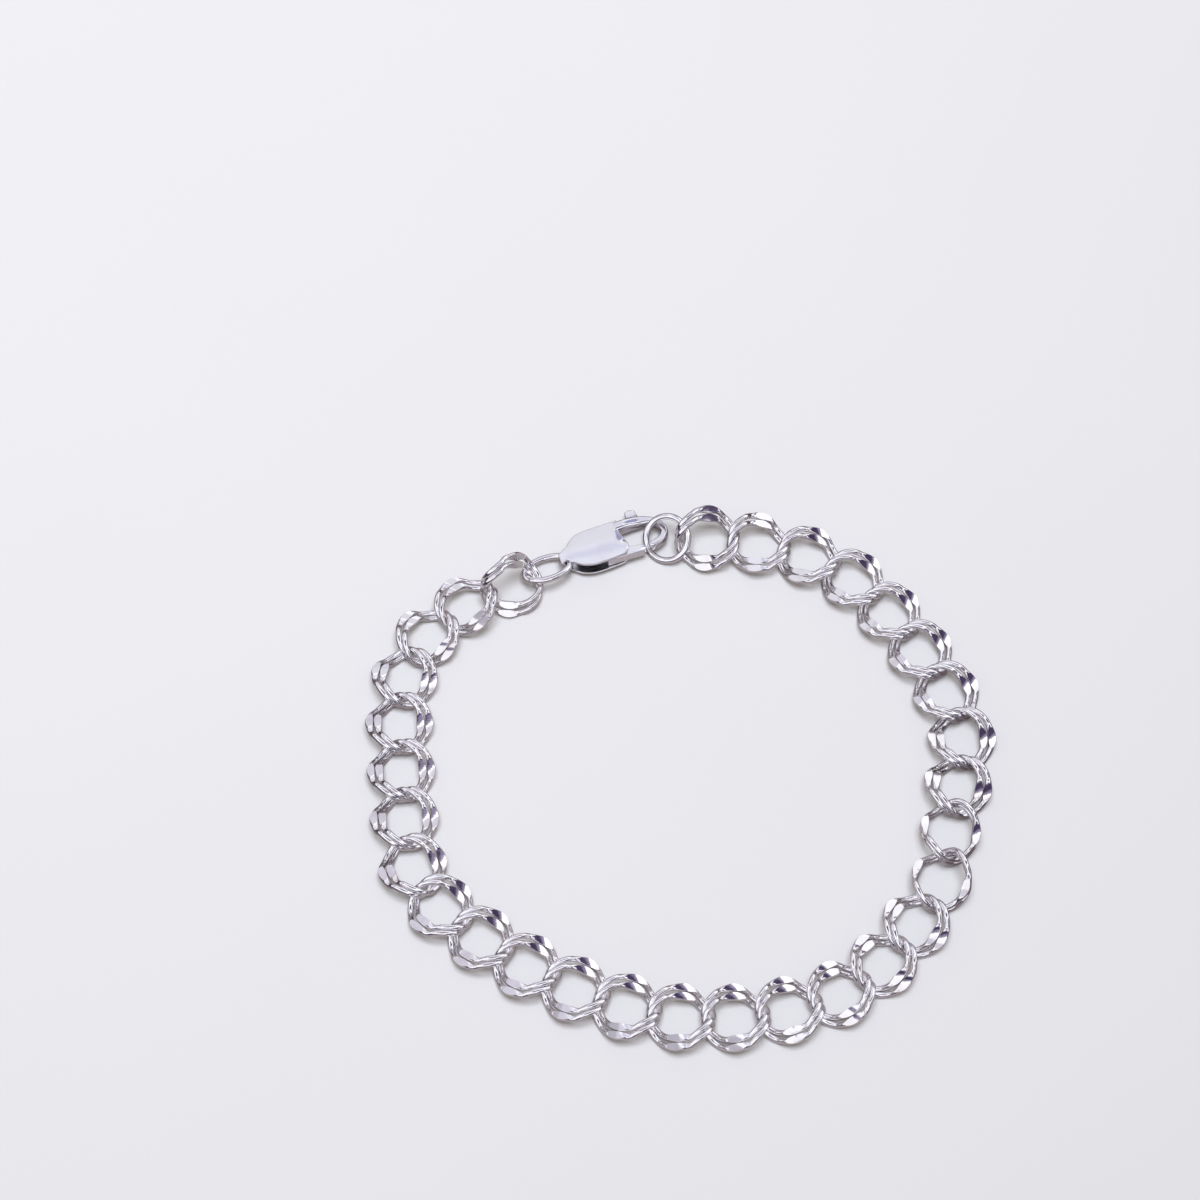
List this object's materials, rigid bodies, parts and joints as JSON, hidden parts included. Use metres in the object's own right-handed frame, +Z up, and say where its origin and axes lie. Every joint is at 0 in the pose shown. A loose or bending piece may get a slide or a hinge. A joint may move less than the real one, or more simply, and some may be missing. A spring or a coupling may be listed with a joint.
{
  "type": "curb chain bracelet",
  "caption": "Silver double curb chain bracelet lying as a closed loop, its lobster clasp hooked into a jump ring.",
  "frame": {"origin": "middle of the underside of the whole bracelet, on the surface it lies on", "axes": "+Z up from the surface; +X and +Y in the surface, with the clasp at +Y; the loop is longest along +X"},
  "size_m": [0.0673, 0.0633, 0.0056],
  "materials": {
    "chain_silver": "polished silver with cut facets",
    "ring_silver": "polished silver wire",
    "clasp_silver": "polished silver sheet"
  },
  "bodies": {
    "bracelet": {"link_01": "chain_silver", "link_02": "chain_silver", "link_03": "chain_silver", "link_04": "chain_silver", "link_05": "chain_silver", "link_06": "chain_silver", "link_07": "chain_silver", "link_08": "chain_silver", "link_09": "chain_silver", "link_10": "chain_silver", "link_11": "chain_silver", "link_12": "chain_silver", "link_13": "chain_silver", "link_14": "chain_silver", "link_15": "chain_silver", "link_16": "chain_silver", "link_17": "chain_silver", "link_18": "chain_silver", "link_19": "chain_silver", "link_20": "chain_silver", "link_21": "chain_silver", "link_22": "chain_silver", "link_23": "chain_silver", "link_24": "chain_silver", "link_25": "chain_silver", "link_26": "chain_silver", "link_27": "chain_silver", "link_28": "chain_silver", "link_29": "chain_silver", "link_30": "chain_silver", "oval_ring": "ring_silver", "jump_ring": "ring_silver", "clasp_body": "clasp_silver"},
    "lever": {"clasp_lever": "clasp_silver"}
  },
  "joints": [
    {"name": "lever_swing", "type": "hinge", "parent": "bracelet", "child": "lever", "pos_m": [-0.00731, 0.02564, 0.00147], "axis": [-0.0366, 0.1162, 0.9925], "range_deg": [0, 18], "stiffness_Nm_per_rad": 0.00002}
  ]
}
